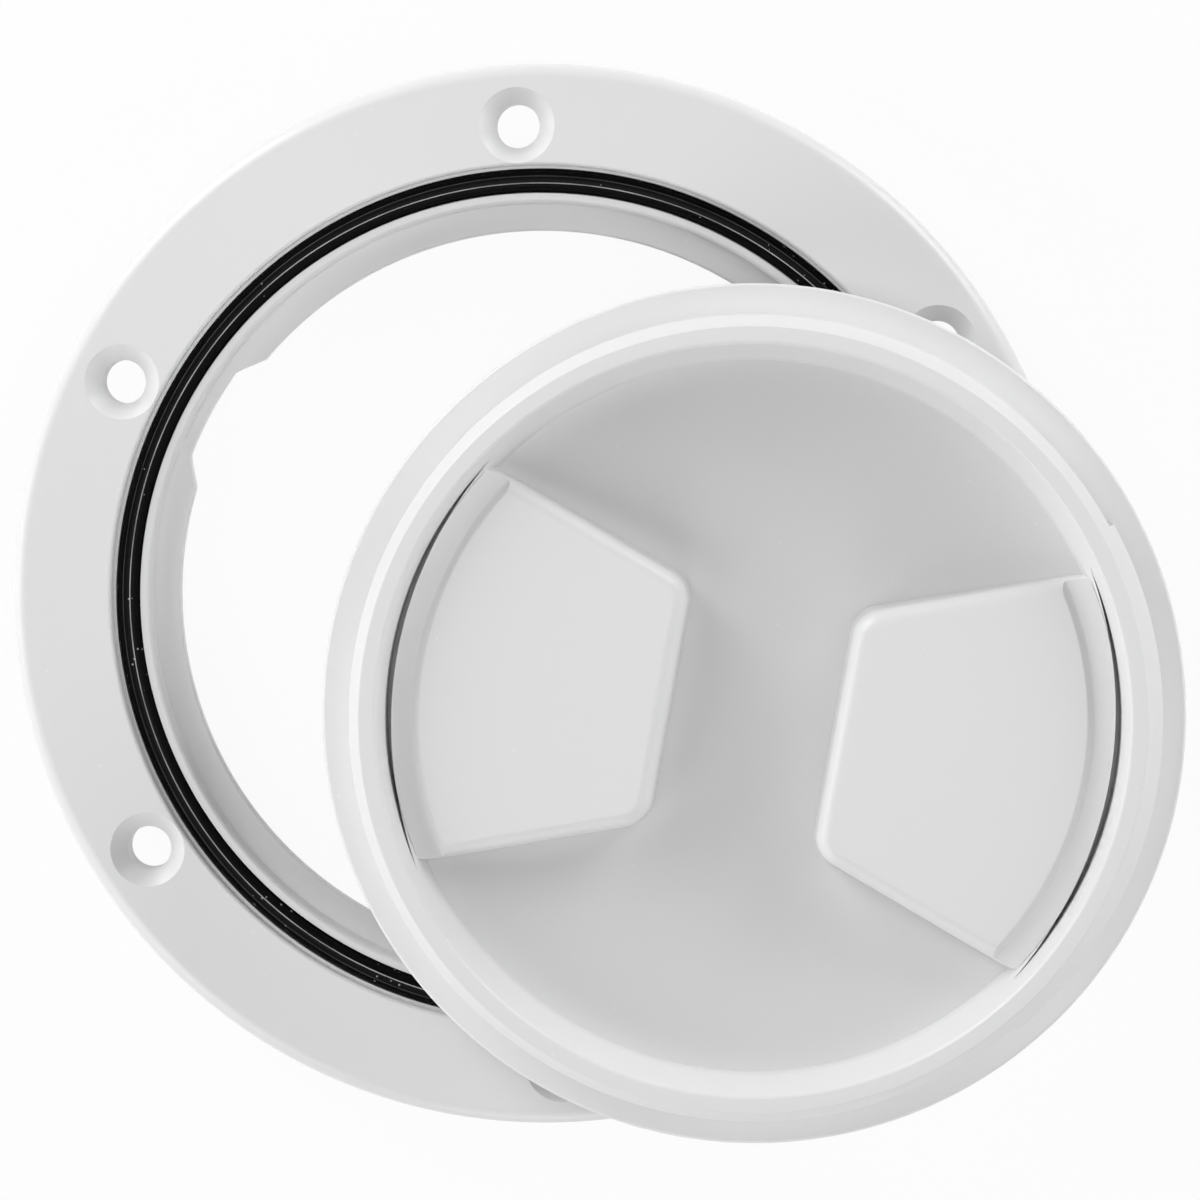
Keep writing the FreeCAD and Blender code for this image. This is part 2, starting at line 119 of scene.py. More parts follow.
def round_hoop(form, radius, height, size, steps):
    """Rounds the turned edge at this radius and height"""
    def wanted(place):
        return abs(place.xy.length - radius) < weld and abs(place.z - height) < weld

    pick_edges(form, wanted)
    round_edges(size, steps)


def slice_off(place, normal):
    """Cuts the form in hand at a plane, drops what lies beyond it and closes the cut"""
    bpy.ops.mesh.select_all(action="SELECT")
    bpy.ops.mesh.bisect(plane_co=place, plane_no=Vector(normal).normalized(), use_fill=True,
                        clear_outer=True, threshold=weld / 10)
    seal_up()


def take_up(form):
    """Makes a form the only selected one, and the active one"""
    bpy.ops.object.select_all(action="DESELECT")
    form.select_set(True)
    bpy.context.view_layer.objects.active = form


def combine(form, tool, operation):
    """Adds a tool form to a piece, or takes it away, and drops the tool"""
    take_up(form)
    change = form.modifiers.new("change", "BOOLEAN")
    change.operation = operation
    change.solver = "MANIFOLD"
    change.object = tool
    bpy.ops.object.modifier_apply(modifier=change.name)
    bpy.data.objects.remove(tool)


deck_flange = turn_form("deck_flange", [
    (collar_inner, collar_end),
    (collar_outer, collar_end),
    (collar_outer, 0),
    (flange_radius, 0),
    (flange_radius, flange_top),
    (recess_radius, flange_top),
    (recess_radius, recess_floor),
    (groove_outer, recess_floor),
    (groove_outer, groove_floor),
    (groove_inner, groove_floor),
    (groove_inner, recess_floor),
    (bore_radius, recess_floor),
    (bore_radius, ledge_top),
    (ledge_radius, ledge_top),
    (ledge_radius, ledge_bottom),
    (collar_inner, ledge_bottom),
    (collar_inner, collar_end),
])
seal_up()
round_hoop(deck_flange, flange_radius, flange_top, flange_round, steps=10)
round_hoop(deck_flange, flange_radius, 0, edge_round, steps=2)
round_hoop(deck_flange, recess_radius, flange_top, recess_round, steps=5)
round_hoop(deck_flange, groove_inner, recess_floor, lip_outer_round, steps=2)
round_hoop(deck_flange, bore_radius, recess_floor, lip_inner_round, steps=5)
round_hoop(deck_flange, ledge_radius, ledge_top, ledge_round, steps=4)
round_hoop(deck_flange, ledge_radius, ledge_bottom, ledge_under_round, steps=2)
round_hoop(deck_flange, collar_outer, collar_end, edge_round, steps=2)
round_hoop(deck_flange, collar_inner, collar_end, edge_round, steps=2)
bpy.ops.object.mode_set(mode="OBJECT")

# Entry notches: three bites in the ring's locking ledge, moulded in, wider at the mouth than at
# the root and rounded in their corners. The lid's lugs drop through them before it is turned.
notch_count = 3
notch_root = 0.0541
notch_turn = math.radians(152)
notch_mouth_half = math.radians(13.5)
notch_root_half = math.radians(7.25)
notch_mouth = 0.0510
notch_corner = 0.0016


def upright_cylinder(name, radius, low, high, back=0):
    """A closed cylinder between two heights, on the upright axis or set back from it along X"""
    bpy.ops.object.select_all(action="DESELECT")
    bpy.ops.mesh.primitive_cylinder_add(vertices=round_steps, radius=radius, depth=high - low,
                                        location=(-back, 0, (low + high) / 2))
    form = bpy.context.active_object
    form.name = name
    bpy.ops.object.transform_apply()
    return form


def on_circle(radius, angle):
    """The place at this angle from X on a circle about the upright axis"""
    return Vector((radius * math.cos(angle), radius * math.sin(angle), 0))


def repeat_round(count):
    """Repeats the form in hand about the upright axis, until there are this many, evenly spaced"""
    bpy.ops.mesh.select_all(action="SELECT")
    bpy.ops.mesh.spin(steps=count - 1, dupli=True, angle=math.tau * (count - 1) / count,
                      center=(0, 0, 0), axis=(0, 0, 1))


def at_notch_root_corner(place):
    from_corner = abs(place.y) - notch_root * math.sin(notch_root_half)
    return abs(place.xy.length - notch_root) < weld and abs(from_corner) < weld * 5


notch_tool = upright_cylinder("notch_tool", notch_root, collar_end, flange_top)
bpy.ops.object.mode_set(mode="EDIT")
for side in (-1, 1):
    mouth = on_circle(notch_mouth, side * notch_mouth_half)
    root = on_circle(notch_root, side * notch_root_half)
    slice_off(root, (root - mouth).cross(Vector((0, 0, -side))))
slice_off((notch_mouth * math.cos(notch_mouth_half), 0, 0), (-1, 0, 0))
pick_edges(notch_tool, at_notch_root_corner)
round_edges(notch_corner, steps=6)
repeat_round(notch_count)
bpy.ops.object.mode_set(mode="OBJECT")
notch_tool.rotation_euler.z = notch_turn
bpy.ops.object.transform_apply()
combine(deck_flange, notch_tool, "DIFFERENCE")

# Screw holes: six, moulded through the flange and countersunk from above, with the edge of each
# countersink just broken. The screws that go through them come with the boat, not with the plate.
screw_count = 6
screw_circle = 0.0664
screw_turn = math.radians(33.4)
screw_hole_radius = 0.0031
screw_hole_steps = 72
countersink_radius = 0.0053
countersink_depth = countersink_radius - screw_hole_radius
countersink_edge = 0.0002
screw_clear = 0.0010
screw_tool = turn_form("screw_tool", [
    (screw_hole_radius, -screw_clear),
    (screw_hole_radius, flange_top - countersink_depth),
    (countersink_radius, flange_top),
    (countersink_radius + countersink_edge, flange_top + countersink_edge / 2),
    (countersink_radius + countersink_edge, flange_top + screw_clear),
], screw_hole_steps)
bpy.ops.mesh.edge_face_add()
pick_edges(screw_tool, lambda place: abs(place.z + screw_clear) < weld)
bpy.ops.mesh.edge_face_add()
seal_up()
bpy.ops.mesh.select_all(action="SELECT")
bpy.ops.transform.translate(value=(screw_circle, 0, 0))
repeat_round(screw_count)
bpy.ops.object.mode_set(mode="OBJECT")
screw_tool.rotation_euler.z = screw_turn
bpy.ops.object.transform_apply()
combine(deck_flange, screw_tool, "DIFFERENCE")

# White plastic: the moulding compound of ring and lid, with a satin skin. Its colour is a little
# uneven, it has the fine grain of the mould, and there is dust here and there.
crease_angle = math.radians(28)
grain_depth = 0.00003


def smooth_moulding(form):
    """Smooths the faces of a moulding, keeps its creases, and lets its flat faces lie flat"""
    take_up(form)
    bpy.ops.object.shade_smooth_by_angle(angle=crease_angle)
    change = form.modifiers.new("flats", "WEIGHTED_NORMAL")
    change.keep_sharp = True
    bpy.ops.object.modifier_apply(modifier=change.name)


def new_group(name, inputs, outputs):
    """A node group with these inputs and outputs, all plain numbers, and its two end nodes"""
    group = bpy.data.node_groups.new(name, "ShaderNodeTree")
    for socket in inputs:
        group.interface.new_socket(name=socket, in_out="INPUT", socket_type="NodeSocketFloat")
    for socket in outputs:
        group.interface.new_socket(name=socket, in_out="OUTPUT", socket_type="NodeSocketFloat")
    return group, group.nodes.new("NodeGroupInput"), group.nodes.new("NodeGroupOutput")


def feed(tree, target, source):
    """Links an input to a socket, or sets it to a plain value"""
    if isinstance(source, bpy.types.NodeSocket):
        tree.links.new(source, target)
    else:
        target.default_value = source


def add_texture(tree, kind, scale):
    """A texture laid through the piece itself, at the scale that a socket gives"""
    place = tree.nodes.new("ShaderNodeTexCoord")
    texture = tree.nodes.new(kind)
    feed(tree, texture.inputs["Vector"], place.outputs["Object"])
    feed(tree, texture.inputs["Scale"], scale)
    return texture


def add_maths(tree, operation, *sources):
    """The result of a sum on sockets or plain values"""
    node = tree.nodes.new("ShaderNodeMath")
    node.operation = operation
    for target, source in zip(node.inputs, sources):
        feed(tree, target, source)
    return node.outputs[0]


def add_mix(tree, share, under, over, blend="MIX"):
    """The colour that comes of laying one colour over another, as strongly as the share says"""
    node = tree.nodes.new("ShaderNodeMix")
    node.data_type = "RGBA"
    node.blend_type = blend
    feed(tree, node.inputs[0], share)
    feed(tree, node.inputs[6], under)
    feed(tree, node.inputs[7], over)
    return node.outputs[2]


def add_group(tree, group, values):
    """A group in a material, with these values for its inputs"""
    node = tree.nodes.new("ShaderNodeGroup")
    node.node_tree = group
    for name, value in values.items():
        node.inputs[name].default_value = value
    return node


def new_material(name):
    """A new material, with its node tree and its surface"""
    material = bpy.data.materials.new(name)
    material.use_nodes = True
    return material, material.node_tree, material.node_tree.nodes["Principled BSDF"]


def add_finish(tree, surface, skin, smoothest, roughest, relief_strength):
    """Gives a surface the uneven gloss and the fine grain of its skin"""
    gloss = tree.nodes.new("ShaderNodeMapRange")
    feed(tree, gloss.inputs["Value"], skin.outputs["Clouds"])
    feed(tree, gloss.inputs["To Min"], smoothest)
    feed(tree, gloss.inputs["To Max"], roughest)
    feed(tree, surface.inputs["Roughness"], gloss.outputs["Result"])
    relief = tree.nodes.new("ShaderNodeBump")
    feed(tree, relief.inputs["Height"], skin.outputs["Grain"])
    feed(tree, relief.inputs["Strength"], relief_strength)
    feed(tree, relief.inputs["Distance"], grain_depth)
    feed(tree, surface.inputs["Normal"], relief.outputs["Normal"])


moulded_skin, skin_in, skin_out = new_group(
    "moulded_skin", ("Cloud Scale", "Grain Scale"), ("Clouds", "Grain"))
clouds = add_texture(moulded_skin, "ShaderNodeTexNoise", skin_in.outputs["Cloud Scale"])
clouds.inputs["Detail"].default_value = 3.0
grain = add_texture(moulded_skin, "ShaderNodeTexNoise", skin_in.outputs["Grain Scale"])
grain.inputs["Detail"].default_value = 2.0
feed(moulded_skin, skin_out.inputs["Clouds"], clouds.outputs["Fac"])
feed(moulded_skin, skin_out.inputs["Grain"], grain.outputs["Fac"])

dust_specks, dust_in, dust_out = new_group(
    "dust_specks", ("Spacing Scale", "Patch Scale", "Speck Size", "Patch Start"), ("Mask",))
cells = add_texture(dust_specks, "ShaderNodeTexVoronoi", dust_in.outputs["Spacing Scale"])
patches = add_texture(dust_specks, "ShaderNodeTexNoise", dust_in.outputs["Patch Scale"])
speck_size = dust_in.outputs["Speck Size"]
patch_start = dust_in.outputs["Patch Start"]
is_speck = add_maths(dust_specks, "LESS_THAN", cells.outputs["Distance"], speck_size)
is_patch = add_maths(dust_specks, "GREATER_THAN", patches.outputs["Fac"], patch_start)
is_dust = add_maths(dust_specks, "MULTIPLY", is_speck, is_patch)
feed(dust_specks, dust_out.inputs["Mask"], is_dust)

plastic_tone = (0.785, 0.785, 0.788, 1)
plastic_shade = (0.765, 0.765, 0.769, 1)
plastic_dust = (0.82, 0.82, 0.82, 1)
white_plastic, tree, surface = new_material("white_moulded_plastic")
surface.inputs["IOR"].default_value = 1.49
skin = add_group(tree, moulded_skin, {
    "Cloud Scale": 45.0,
    "Grain Scale": 2600.0,
})
specks = add_group(tree, dust_specks, {
    "Spacing Scale": 260.0,
    "Patch Scale": 60.0,
    "Speck Size": 0.06,
    "Patch Start": 0.52,
})
uneven = add_mix(tree, skin.outputs["Clouds"], plastic_shade, plastic_tone)
dusted = add_mix(tree, specks.outputs["Mask"], uneven, plastic_dust)
feed(tree, surface.inputs["Base Color"], dusted)
add_finish(tree, surface, skin, smoothest=0.30, roughest=0.42, relief_strength=0.12)

deck_flange.data.materials.clear()
deck_flange.data.materials.append(white_plastic)
smooth_moulding(deck_flange)
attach(deck_flange, "root")
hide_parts("deck_ring")

# Seal: a black rubber ring of round section, pressed into the groove with a smear of grease. Two
# fine flash lines run round its top, with painted highlights along them, and it flattens a little
# where it sits.
seal_radius = (groove_outer + groove_inner) / 2
seal_half = 0.0016
seal_proud = 0.0008
seal_middle = recess_floor + seal_proud - seal_half
seal_points = 80
seal_crease = math.radians(40)
flash_height = 0.00004
flash_points = (15, 23)
flash_highlight_tones = (0.12, 0.75)
highlight_half_width = 0.00007
seal_outline = []
for point in range(seal_points + 1):
    turn = math.tau * point / seal_points
    swell = seal_half + (flash_height if point in flash_points else 0)
    level = max(seal_middle + seal_half * math.sin(turn), groove_floor + weld)
    seal_outline.append((seal_radius + swell * math.cos(turn), level))
rubber_seal = turn_form("rubber_seal", seal_outline)
seal_up()
bpy.ops.object.mode_set(mode="OBJECT")
bpy.ops.object.shade_smooth_by_angle(angle=seal_crease)


def add_radius(tree, place):
    """How far a place is from the upright axis"""
    flat_place = tree.nodes.new("ShaderNodeMapping")
    flat_place.inputs["Scale"].default_value = (1, 1, 0)
    feed(tree, flat_place.inputs["Vector"], place)
    distance = tree.nodes.new("ShaderNodeVectorMath")
    distance.operation = "LENGTH"
    feed(tree, distance.inputs[0], flat_place.outputs["Vector"])
    return distance.outputs["Value"]


rubber_tone = (0.003, 0.003, 0.003, 1)
rubber_dust = (0.30, 0.30, 0.30, 1)
black_rubber, tree, surface = new_material("black_greased_rubber")
surface.inputs["IOR"].default_value = 1.5
surface.inputs["Specular IOR Level"].default_value = 0.06
skin = add_group(tree, moulded_skin, {
    "Cloud Scale": 160.0,
    "Grain Scale": 3200.0,
})
specks = add_group(tree, dust_specks, {
    "Spacing Scale": 900.0,
    "Patch Scale": 150.0,
    "Speck Size": 0.14,
    "Patch Start": 0.60,
})
rubber_colour = add_mix(tree, specks.outputs["Mask"], rubber_tone, rubber_dust)
place = tree.nodes.new("ShaderNodeTexCoord")
from_ring_axis = add_radius(tree, place.outputs["Object"])
# Painted highlights: a thin pale line along each flash line, the inner one much brighter than the
# outer
for flash_point, flash_highlight_tone in zip(flash_points, flash_highlight_tones):
    line_radius = seal_radius + seal_half * math.cos(math.tau * flash_point / seal_points)
    highlight_colour = (flash_highlight_tone, flash_highlight_tone, flash_highlight_tone, 1)
    on_highlight_line = add_maths(tree, "COMPARE", from_ring_axis, line_radius, highlight_half_width)
    highlight_share = add_maths(tree, "MULTIPLY", on_highlight_line, skin.outputs["Clouds"])
    rubber_colour = add_mix(tree, highlight_share, rubber_colour, highlight_colour)
feed(tree, surface.inputs["Base Color"], rubber_colour)
add_finish(tree, surface, skin, smoothest=0.16, roughest=0.42, relief_strength=0.15)
rubber_seal.data.materials.append(black_rubber)
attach(rubber_seal, "root")
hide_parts("seal_ring")

# Lid: one moulding in the same white plastic. A dished floor ends in a raised rim with a bevelled
# outer edge, a thin flange covers the seal, and a spigot below goes into the ring. It is modelled
# about its own axis, level with its flange, and then laid on the ring where the real one lies.
lid_low, lid_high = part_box("screw_lid")
lid_radius = 0.05965
lid_flange = 0.0024
rim_height = 0.0090
rim_radius = 0.0552
rim_bevel_width = 0.0015
rim_bevel_height = 0.0019
rim_inner = 0.0514
floor_radius = 0.0491
floor_edge = 0.0020
floor_centre = -0.0026
floor_rings = 26
lid_wall = 0.0028
spigot_radius = 0.0513
spigot_bore = 0.0489
spigot_end = lid_low.z - lid_high.z + rim_height
core_inner = 0.0523
core_outer = 0.0538
core_cover = 0.0024
core_roof = rim_height - core_cover
pole = 0.0004
lid_edge_round = 0.0005
lid_under_round = 0.0003
rim_foot_round = 0.0004
bevel_foot_round = 0.00018
bevel_top_round = 0.00015
rim_inner_round = 0.0004
spigot_round = 0.0003


def dish(radius, edge_radius, edge_height, centre_height):
    """The height of a shallow dish at a radius, as part of a sphere"""
    drop = edge_height - centre_height
    sphere = (edge_radius ** 2 + drop ** 2) / (2 * drop)
    return centre_height + sphere - math.sqrt(sphere ** 2 - radius ** 2)


def dish_rings(edge_radius, edge_height, centre_height):
    """The rings of a dish from its edge to its middle"""
    rings = []
    for ring in range(1, floor_rings + 1):
        radius = edge_radius + (pole - edge_radius) * ring / floor_rings
        rings.append((radius, dish(radius, edge_radius, edge_height, centre_height)))
    return rings


under_dish = dish_rings(spigot_bore, floor_edge - lid_wall, floor_centre - lid_wall)
dished_lid = turn_form("dished_lid", under_dish[::-1] + [
    (spigot_bore, floor_edge - lid_wall),
    (spigot_bore, spigot_end),
    (spigot_radius, spigot_end),
    (spigot_radius, -lid_flange),
    (core_inner, -lid_flange),
    (core_inner, core_roof),
    (core_outer, core_roof),
    (core_outer, -lid_flange),
    (lid_radius, -lid_flange),
    (lid_radius, 0),
    (rim_radius, 0),
    (rim_radius, rim_height - rim_bevel_height),
    (rim_radius - rim_bevel_width, rim_height),
    (rim_inner, rim_height),
    (floor_radius, floor_edge),
] + dish_rings(floor_radius, floor_edge, floor_centre))
bpy.ops.mesh.merge(type="CENTER")
pick_edges(dished_lid, lambda place: abs(place.xy.length - pole) < weld)
bpy.ops.mesh.merge(type="CENTER")
seal_up()
round_hoop(dished_lid, lid_radius, 0, lid_edge_round, steps=5)
round_hoop(dished_lid, lid_radius, -lid_flange, lid_under_round, steps=3)
round_hoop(dished_lid, rim_radius, 0, rim_foot_round, steps=4)
round_hoop(dished_lid, rim_radius, rim_height - rim_bevel_height, bevel_foot_round, steps=3)
round_hoop(dished_lid, rim_radius - rim_bevel_width, rim_height, bevel_top_round, steps=3)
round_hoop(dished_lid, rim_inner, rim_height, rim_inner_round, steps=5)
round_hoop(dished_lid, spigot_radius, spigot_end, spigot_round, steps=3)
round_hoop(dished_lid, spigot_bore, spigot_end, spigot_round, steps=3)
bpy.ops.object.mode_set(mode="OBJECT")

# Rim land: over about a fifth of the turn the rim's outer wall is thicker, and its bevel runs on
# further down. It is part of the lid's moulding, where the mould was filled.
land_width = 0.0007
land_half_angle = math.radians(39)
land_drop = land_width * rim_bevel_height / rim_bevel_width
land_foot = -lid_flange / 4
bevel_foot = rim_height - rim_bevel_height


def keep_sector(half_angle):
    """Cuts the form in hand down to the sector that lies within this angle of X, to both sides"""
    for side in (-1, 1):
        slice_off((0, 0, 0), (-math.sin(half_angle), side * math.cos(half_angle), 0))


rim_land = turn_form("rim_land", [
    (rim_radius - land_width, land_foot),
    (rim_radius + land_width, land_foot),
    (rim_radius + land_width, bevel_foot - land_drop),
    (rim_radius - land_width, bevel_foot + land_drop),
    (rim_radius - land_width, land_foot),
])
seal_up()
keep_sector(land_half_angle)
bpy.ops.object.mode_set(mode="OBJECT")
combine(dished_lid, rim_land, "UNION")

# Finger pads: two raised lobes that face each other across the dish, gripped to turn the lid.
# Their sides lean in a little, their edges are well rounded, and each has a lowered shoulder
# along its outer arc. They are one with the floor.
pad_top = 0.0056
pad_base = -0.0030
pad_reach = 0.0501
pad_inner_distance = 0.01115
pad_inner_half = 0.01707
pad_corner_radius = 0.0494
pad_half_angle = math.radians(34.5)
pad_draft = math.radians(4)
pad_inner_round = 0.0028
pad_outer_round = 0.0030
pad_top_round = 0.0020
shoulder_drop = 0.0010
shoulder_edge = 0.0462
shoulder_slope = 0.0012
shoulder_points = 12
shoulder_outside = pad_reach + pad_top_round
inner_corner = Vector((pad_inner_distance, pad_inner_half, pad_base))
outer_corner = on_circle(pad_corner_radius, pad_half_angle) + Vector((0, 0, pad_base))
side_run = (outer_corner - inner_corner).normalized()


def lean(normal):
    """An outward normal, tipped up by the draft of the pads' sides"""
    return normal * math.cos(pad_draft) + Vector((0, 0, math.sin(pad_draft)))


def pick_upright_edges(form, nearest, farthest):
    """Selects the upright edges of the form in hand whose distance from the axis is in these bounds"""
    bpy.ops.mesh.select_mode(type="EDGE")
    bpy.ops.mesh.select_all(action="DESELECT")
    shape = bmesh.from_edit_mesh(form.data)
    for edge in shape.edges:
        middle = (edge.verts[0].co + edge.verts[1].co) / 2
        tall = abs(edge.verts[0].co.z - edge.verts[1].co.z) > (pad_top - pad_base) / 2
        sharp = edge.is_manifold and edge.calc_face_angle() > crease_angle
        if tall and sharp and nearest < middle.xy.length < farthest:
            edge.select_set(True)
    bmesh.update_edit_mesh(form.data)


def repeat_opposite():
    """Adds a second form like the one in hand, turned half round the upright axis"""
    bpy.ops.mesh.select_all(action="SELECT")
    bpy.ops.mesh.duplicate()
    bpy.ops.transform.rotate(value=math.pi, orient_axis="Z", center_override=(0, 0, 0))


finger_pad = upright_cylinder("finger_pad", pad_reach, pad_base, pad_top)
bpy.ops.object.mode_set(mode="EDIT")
slice_off(inner_corner, lean(Vector((-1, 0, 0))))
for side in (-1, 1):
    corner = Vector((inner_corner.x, side * inner_corner.y, inner_corner.z))
    slice_off(corner, lean(Vector((-side_run.y, side * side_run.x, 0))))
pick_upright_edges(finger_pad, 0, pad_reach / 2)
round_edges(pad_inner_round, steps=10)
pick_upright_edges(finger_pad, pad_reach / 2, pad_reach * 2)
round_edges(pad_outer_round, steps=10)
pick_edges(finger_pad, lambda place: abs(place.z - pad_top) < weld)
round_edges(pad_top_round, steps=12)
bpy.ops.object.mode_set(mode="OBJECT")

shoulder_outline = [
    (shoulder_outside, pad_top + shoulder_drop),
    (shoulder_outside, pad_top - shoulder_drop),
]
for point in range(shoulder_points + 1):
    share = point / shoulder_points
    ease = share * share * (3 - 2 * share)
    slope_radius = shoulder_edge + shoulder_slope * (0.5 - share)
    shoulder_outline.append((slope_radius, pad_top - shoulder_drop * (1 - ease)))
shoulder_outline.append((shoulder_edge - shoulder_slope / 2, pad_top + shoulder_drop))
shoulder_outline.append(shoulder_outline[0])
shoulder_tool = turn_form("shoulder_tool", shoulder_outline)
seal_up()
bpy.ops.object.mode_set(mode="OBJECT")
combine(finger_pad, shoulder_tool, "DIFFERENCE")
bpy.ops.object.mode_set(mode="EDIT")
repeat_opposite()
bpy.ops.object.mode_set(mode="OBJECT")
combine(dished_lid, finger_pad, "UNION")

# Slots: a narrow deep gap behind each pad, where the mould's core stood between the pad and the
# rim. Each is a crescent, widest in the middle of the arc.
slot_outer = 0.0504
slot_inner = 0.0495
slot_centre_back = 0.0056
slot_floor = 0.0002
slot_top = rim_height * 2
slot_tool = upright_cylinder("slot_tool", slot_outer, slot_floor, slot_top)
bpy.ops.object.mode_set(mode="EDIT")
keep_sector(pad_half_angle)
bpy.ops.object.mode_set(mode="OBJECT")
pad_back = upright_cylinder("pad_back", slot_inner + slot_centre_back,
                            slot_floor - slot_top, slot_top - slot_floor, slot_centre_back)
combine(slot_tool, pad_back, "DIFFERENCE")
bpy.ops.object.mode_set(mode="EDIT")
repeat_opposite()
bpy.ops.object.mode_set(mode="OBJECT")
combine(dished_lid, slot_tool, "DIFFERENCE")

# Underside of the lid: each pad is hollow from below, so that its walls are as thin as the rest,
# and three short lugs stand out at the spigot's end, which lock under the ring's ledge.
pad_wall = 0.0022
cavity_radius = pad_corner_radius - pad_wall
cavity_top = pad_top - pad_wall - shoulder_drop
cavity_clear = 0.0010
cavity_bottom = floor_centre - lid_wall - cavity_clear
cavity_corner = 0.0010
cavity_tool = upright_cylinder("cavity_tool", cavity_radius, cavity_bottom, cavity_top)
bpy.ops.object.mode_set(mode="EDIT")
slice_off((pad_inner_distance + pad_wall, 0, 0), (-1, 0, 0))
for side in (-1, 1):
    outward = Vector((-side_run.y, side * side_run.x, 0))
    corner = Vector((inner_corner.x, side * inner_corner.y, 0))
    slice_off(corner - outward * pad_wall, outward)
pick_upright_edges(cavity_tool, 0, pad_reach)
round_edges(cavity_corner, steps=5)
repeat_opposite()
bpy.ops.object.mode_set(mode="OBJECT")
combine(dished_lid, cavity_tool, "DIFFERENCE")

lug_count = 3
lug_reach = 0.0537
lug_sunk = 0.0008
lug_root = spigot_radius - lug_sunk
lug_height = 0.0020
lug_half_angle = math.radians(6)
locking_lugs = turn_form("locking_lugs", [
    (lug_root, spigot_end),
    (lug_reach, spigot_end),
    (lug_reach, spigot_end + lug_height),
    (lug_root, spigot_end + lug_height),
    (lug_root, spigot_end),
])
seal_up()
keep_sector(lug_half_angle)
repeat_round(lug_count)
bpy.ops.object.mode_set(mode="OBJECT")
combine(dished_lid, locking_lugs, "UNION")

# Lid's plastic: the same compound, but with painted shade, a little greyer inside the rim and below
# the pads' tops, in the dish and on the underside, where the lid is hollow and lies in shade.
# Painted shade: about a seventh darker, laid over the lid's hollows below the pads' tops
dish_painted_shade = (0.86, 0.86, 0.86, 1)
painted_shade_from = 0.0012
painted_shade_to = 0.0036
lid_place = Vector(((lid_low.x + lid_high.x) / 2, (lid_low.y + lid_high.y) / 2,
                    lid_high.z - rim_height))
lid_plastic = white_plastic.copy()
lid_plastic.name = "white_lid_plastic"
tree = lid_plastic.node_tree
surface = tree.nodes["Principled BSDF"]
unshaded_tone = surface.inputs["Base Color"].links[0].from_socket
place = tree.nodes.new("ShaderNodeTexCoord")
place_parts = tree.nodes.new("ShaderNodeSeparateXYZ")
feed(tree, place_parts.inputs["Vector"], place.outputs["Object"])
low_down = tree.nodes.new("ShaderNodeMapRange")
low_down.interpolation_type = "SMOOTHSTEP"
low_down.inputs["From Min"].default_value = lid_place.z + painted_shade_from
low_down.inputs["From Max"].default_value = lid_place.z + painted_shade_to
low_down.inputs["To Min"].default_value = 1.0
low_down.inputs["To Max"].default_value = 0.0
feed(tree, low_down.inputs["Value"], place_parts.outputs["Z"])
from_lid = tree.nodes.new("ShaderNodeVectorMath")
from_lid.operation = "SUBTRACT"
from_lid.inputs[1].default_value = lid_place
feed(tree, from_lid.inputs[0], place.outputs["Object"])
from_lid_axis = add_radius(tree, from_lid.outputs["Vector"])
inside_rim = add_maths(tree, "LESS_THAN", from_lid_axis, rim_inner)
painted_shade_share = add_maths(tree, "MULTIPLY", low_down.outputs["Result"], inside_rim)
# Painted shade: the plain tone is multiplied darker inside the rim and low down in the lid
painted_shade_tone = add_mix(tree, painted_shade_share, unshaded_tone, dish_painted_shade, "MULTIPLY")
feed(tree, surface.inputs["Base Color"], painted_shade_tone)

# Lid as it lies: taken out of the bore, turned a few degrees and laid on the ring, with the end
# of its spigot on the flange. Nothing fixes it there.
lid_turn = math.radians(-9.5)
dished_lid.rotation_euler.z = lid_turn
dished_lid.location = lid_place
take_up(dished_lid)
bpy.ops.object.transform_apply()
dished_lid.data.materials.clear()
dished_lid.data.materials.append(lid_plastic)
smooth_moulding(dished_lid)
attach(dished_lid, "root")
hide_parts("screw_lid")

# Studio: the plate stands on a plain white floor, seen from almost straight above. Broad soft
# lamps stand round it, low down, so that its flat tops are a little greyer than its rounded edges.
# The strongest two are at the upper left and the upper right.
floor_reach = 3.0
floor_clear = 0.00002
floor_tone = (0.9, 0.9, 0.9, 1)
floor_glow = 0.93
sky_tone = (1, 1, 1, 1)
sky_strength = 0.02
sky_seen_strength = 1.0


def add_seen(tree):
    """One for what the camera sees, directly, mirrored or through something, and nought otherwise"""
    path = tree.nodes.new("ShaderNodeLightPath")
    seen = add_maths(tree, "MAXIMUM", path.outputs["Is Camera Ray"], path.outputs["Is Glossy Ray"])
    return add_maths(tree, "MAXIMUM", seen, path.outputs["Is Transmission Ray"])


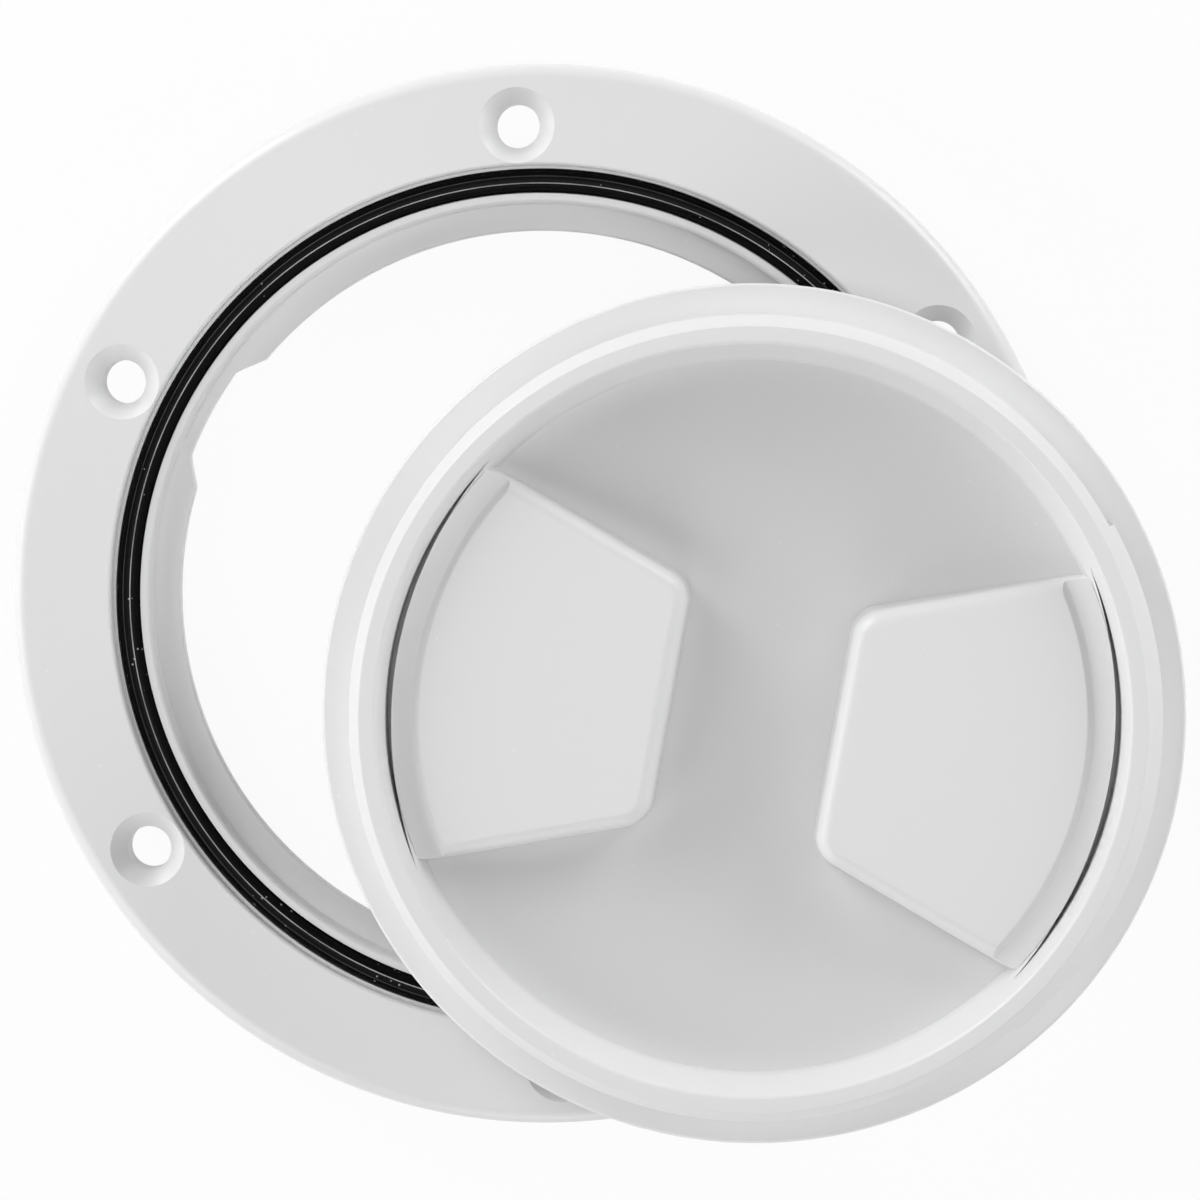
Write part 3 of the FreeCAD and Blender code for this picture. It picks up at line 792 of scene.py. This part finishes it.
bpy.ops.object.select_all(action="DESELECT")
bpy.ops.mesh.primitive_plane_add(size=floor_reach, location=(0, 0, collar_end - floor_clear))
studio_floor = bpy.context.active_object
studio_floor.name = "studio_floor"
floor_white, tree, surface = new_material("studio_floor")
surface.inputs["Base Color"].default_value = floor_tone
surface.inputs["Roughness"].default_value = 0.9
surface.inputs["Specular IOR Level"].default_value = 0.1
glow = tree.nodes.new("ShaderNodeEmission")
glow.inputs["Strength"].default_value = 1.0
blend = tree.nodes.new("ShaderNodeMixShader")
feed(tree, blend.inputs["Fac"], add_maths(tree, "MULTIPLY", add_seen(tree), floor_glow))
feed(tree, blend.inputs[1], surface.outputs["BSDF"])
feed(tree, blend.inputs[2], glow.outputs["Emission"])
feed(tree, tree.nodes["Material Output"].inputs["Surface"], blend.outputs["Shader"])
studio_floor.data.materials.append(floor_white)

world = bpy.data.worlds.new("studio")
bpy.context.scene.world = world
world.use_nodes = True
tree = world.node_tree
background = tree.nodes["Background"]
background.inputs["Color"].default_value = sky_tone
sky = tree.nodes.new("ShaderNodeMapRange")
feed(tree, sky.inputs["Value"], add_seen(tree))
feed(tree, sky.inputs["To Min"], sky_strength)
feed(tree, sky.inputs["To Max"], sky_seen_strength)
feed(tree, background.inputs["Strength"], sky.outputs["Result"])

lamp_distance = 1.0
lamp_size = 0.5
# Each lamp's azimuth from the right of the picture, its elevation in degrees, and its watts.
lamps = [
    (135, 15, 4.6),
    (45, 15, 4.2),
    (180, 15, 2.2),
    (0, 15, 2.3),
    (270, 15, 1.9),
    (225, 15, 0.6),
    (225, 35, 2.0),
    (135, 35, 1.9),
    (270, 35, 1.0),
    (0, 60, 1.0),
    (0, 89, 1.4),
]
for azimuth, elevation, power in lamps:
    rise = math.radians(elevation)
    away = on_circle(math.cos(rise), math.radians(azimuth)) + Vector((0, 0, math.sin(rise)))
    lamp_data = bpy.data.lights.new("studio_lamp", "AREA")
    lamp_data.shape = "DISK"
    lamp_data.size = lamp_size
    lamp_data.energy = power
    lamp = bpy.data.objects.new("studio_lamp", lamp_data)
    lamp.location = away * lamp_distance
    lamp.rotation_euler = away.to_track_quat("Z", "Y").to_euler()
    lamp.visible_camera = False
    bpy.context.scene.collection.objects.link(lamp)

# Camera: a long lens nearly overhead, a little over half a metre up. Its place and its turn come
# from fitting the circles of the seal and the lid.
camera_data = bpy.data.cameras.new("camera")
camera_data.lens = 122.34
camera_data.sensor_width = 36
camera = bpy.data.objects.new("camera", camera_data)
camera.location = (0.0335156, 0.0364439, 0.5784351)
camera.rotation_euler = (-0.0632, 0.0444, 0.0116)
bpy.context.scene.collection.objects.link(camera)
bpy.context.scene.camera = camera
bpy.context.scene.view_settings.view_transform = "Standard"
